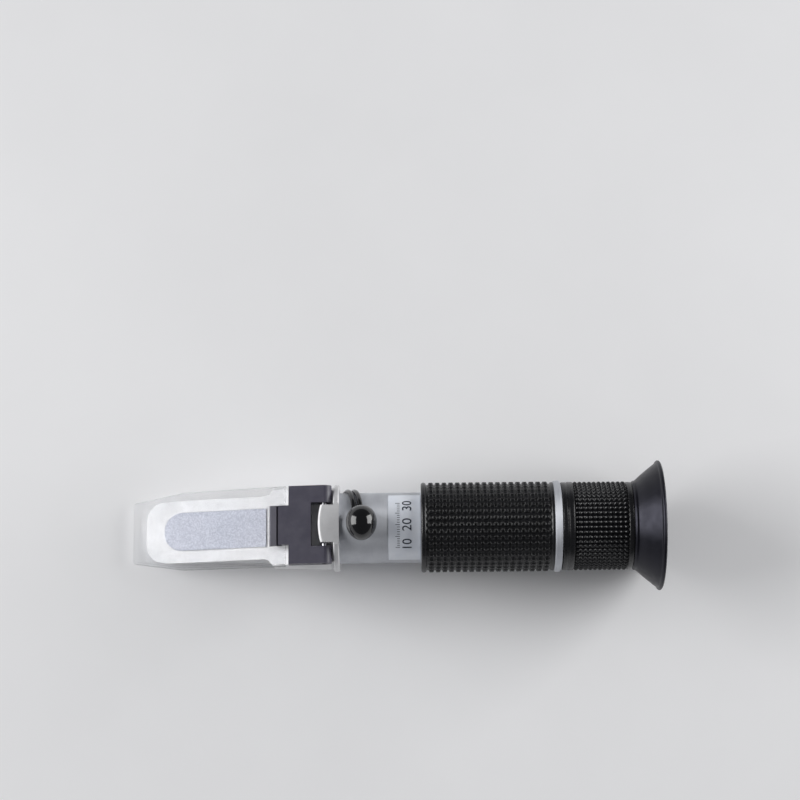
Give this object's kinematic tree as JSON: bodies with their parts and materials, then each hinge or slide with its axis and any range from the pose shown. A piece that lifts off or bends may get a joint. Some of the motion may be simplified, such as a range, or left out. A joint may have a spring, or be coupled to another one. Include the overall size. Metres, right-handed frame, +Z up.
{
  "type": "hand-held refractometer",
  "caption": "Tube with a wedge-shaped prism head under a hinged clear daylight plate, capped calibration screw, rubber grip, turning focusing eyepiece and flared eyecup.",
  "frame": {"origin": "centre of the bounding box, at its base, on the surface the instrument lies on", "axes": "+X from the prism end towards the eyepiece, +Y across the instrument, +Z up, out of the prism side; the optical axis rises 3.5 degrees along +X"},
  "size_m": [0.1586, 0.0388, 0.0387],
  "materials": {
    "satin_casting": "die-cast, satin chrome finish",
    "bright_tube": "turned, bright satin finish",
    "optical_glass": "polished",
    "cement": "pale potting cement",
    "steel": "turned",
    "clear_acrylic": "clear, moulded and polished",
    "frosted_acrylic": "fine frosted",
    "bracket_black": "dark grey, satin",
    "label": "pale printed film",
    "grip_rubber": "moulded, fine square bumps",
    "eyecup_rubber": "moulded, smooth, satin",
    "cap_rubber": "moulded, glossy",
    "brass": "turned",
    "bimetal": "rolled strip",
    "black_anodised": "black anodised",
    "focus_plastic": "moulded, knurled"
  },
  "bodies": {
    "barrel": {"prism_housing": "satin_casting", "main_prism": "optical_glass", "prism_seal": "cement", "hinge_pin": "steel", "main_tube": "bright_tube", "neck_label": "label", "rubber_grip": "grip_rubber", "trim_ring": "bright_tube", "screw_bush": "brass", "cap_strap": "cap_rubber", "strap_stud": "steel", "strip_anchor": "black_anodised", "reticle_ring": "brass", "reticle": "optical_glass", "eyepiece_guide": "black_anodised"},
    "flap": {"daylight_plate": "clear_acrylic", "diffuser_pad": "frosted_acrylic", "plate_rivets": "steel", "hinge_bracket": "bracket_black"},
    "screw": {"calibration_screw": "steel"},
    "cap": {"calibration_cap": "cap_rubber"},
    "objective": {"objective_cell": "brass", "objective_lens": "optical_glass", "bimetal_strip": "bimetal"},
    "carriage": {"lens_barrel": "black_anodised", "field_lens": "optical_glass", "lens_spacer": "black_anodised", "eye_lens": "optical_glass", "lens_retainer": "black_anodised"},
    "focus": {"focus_ring": "focus_plastic", "eyecup": "eyecup_rubber"}
  },
  "joints": [
    {"name": "flap_hinge", "type": "hinge", "parent": "barrel", "child": "flap", "pos_m": [-0.02214, 0, 0.02125], "axis": [0, 1, 0], "range_deg": [0, 105]},
    {"name": "cap_pull", "type": "slide", "parent": "barrel", "child": "cap", "axis": [-0.0614, 0, 0.9981], "range_m": [0, 0.007]},
    {"name": "calibration_turn", "type": "hinge", "parent": "barrel", "child": "screw", "pos_m": [-0.01119, 0, 0.02392], "axis": [-0.0614, 0, 0.9981], "range_deg": [-360, 360]},
    {"name": "objective_shift", "type": "slide", "parent": "barrel", "child": "objective", "axis": [-0.0614, 0, 0.9981], "range_m": [-0.0004, 0.0004]},
    {"name": "focus_travel", "type": "slide", "parent": "barrel", "child": "carriage", "axis": [0.9981, 0, 0.0614], "range_m": [0, 0.003]},
    {"name": "focus_turn", "type": "hinge", "parent": "carriage", "child": "focus", "pos_m": [0.06, 0, 0.01828], "axis": [0.9981, 0, 0.0614], "range_deg": [0, 270]}
  ],
  "couplings": [
    {"joint": "calibration_turn", "follows": "objective_shift", "rad_per_m": -15708},
    {"joint": "focus_travel", "follows": "focus_turn", "m_per_rad": 0.0006366}
  ]
}
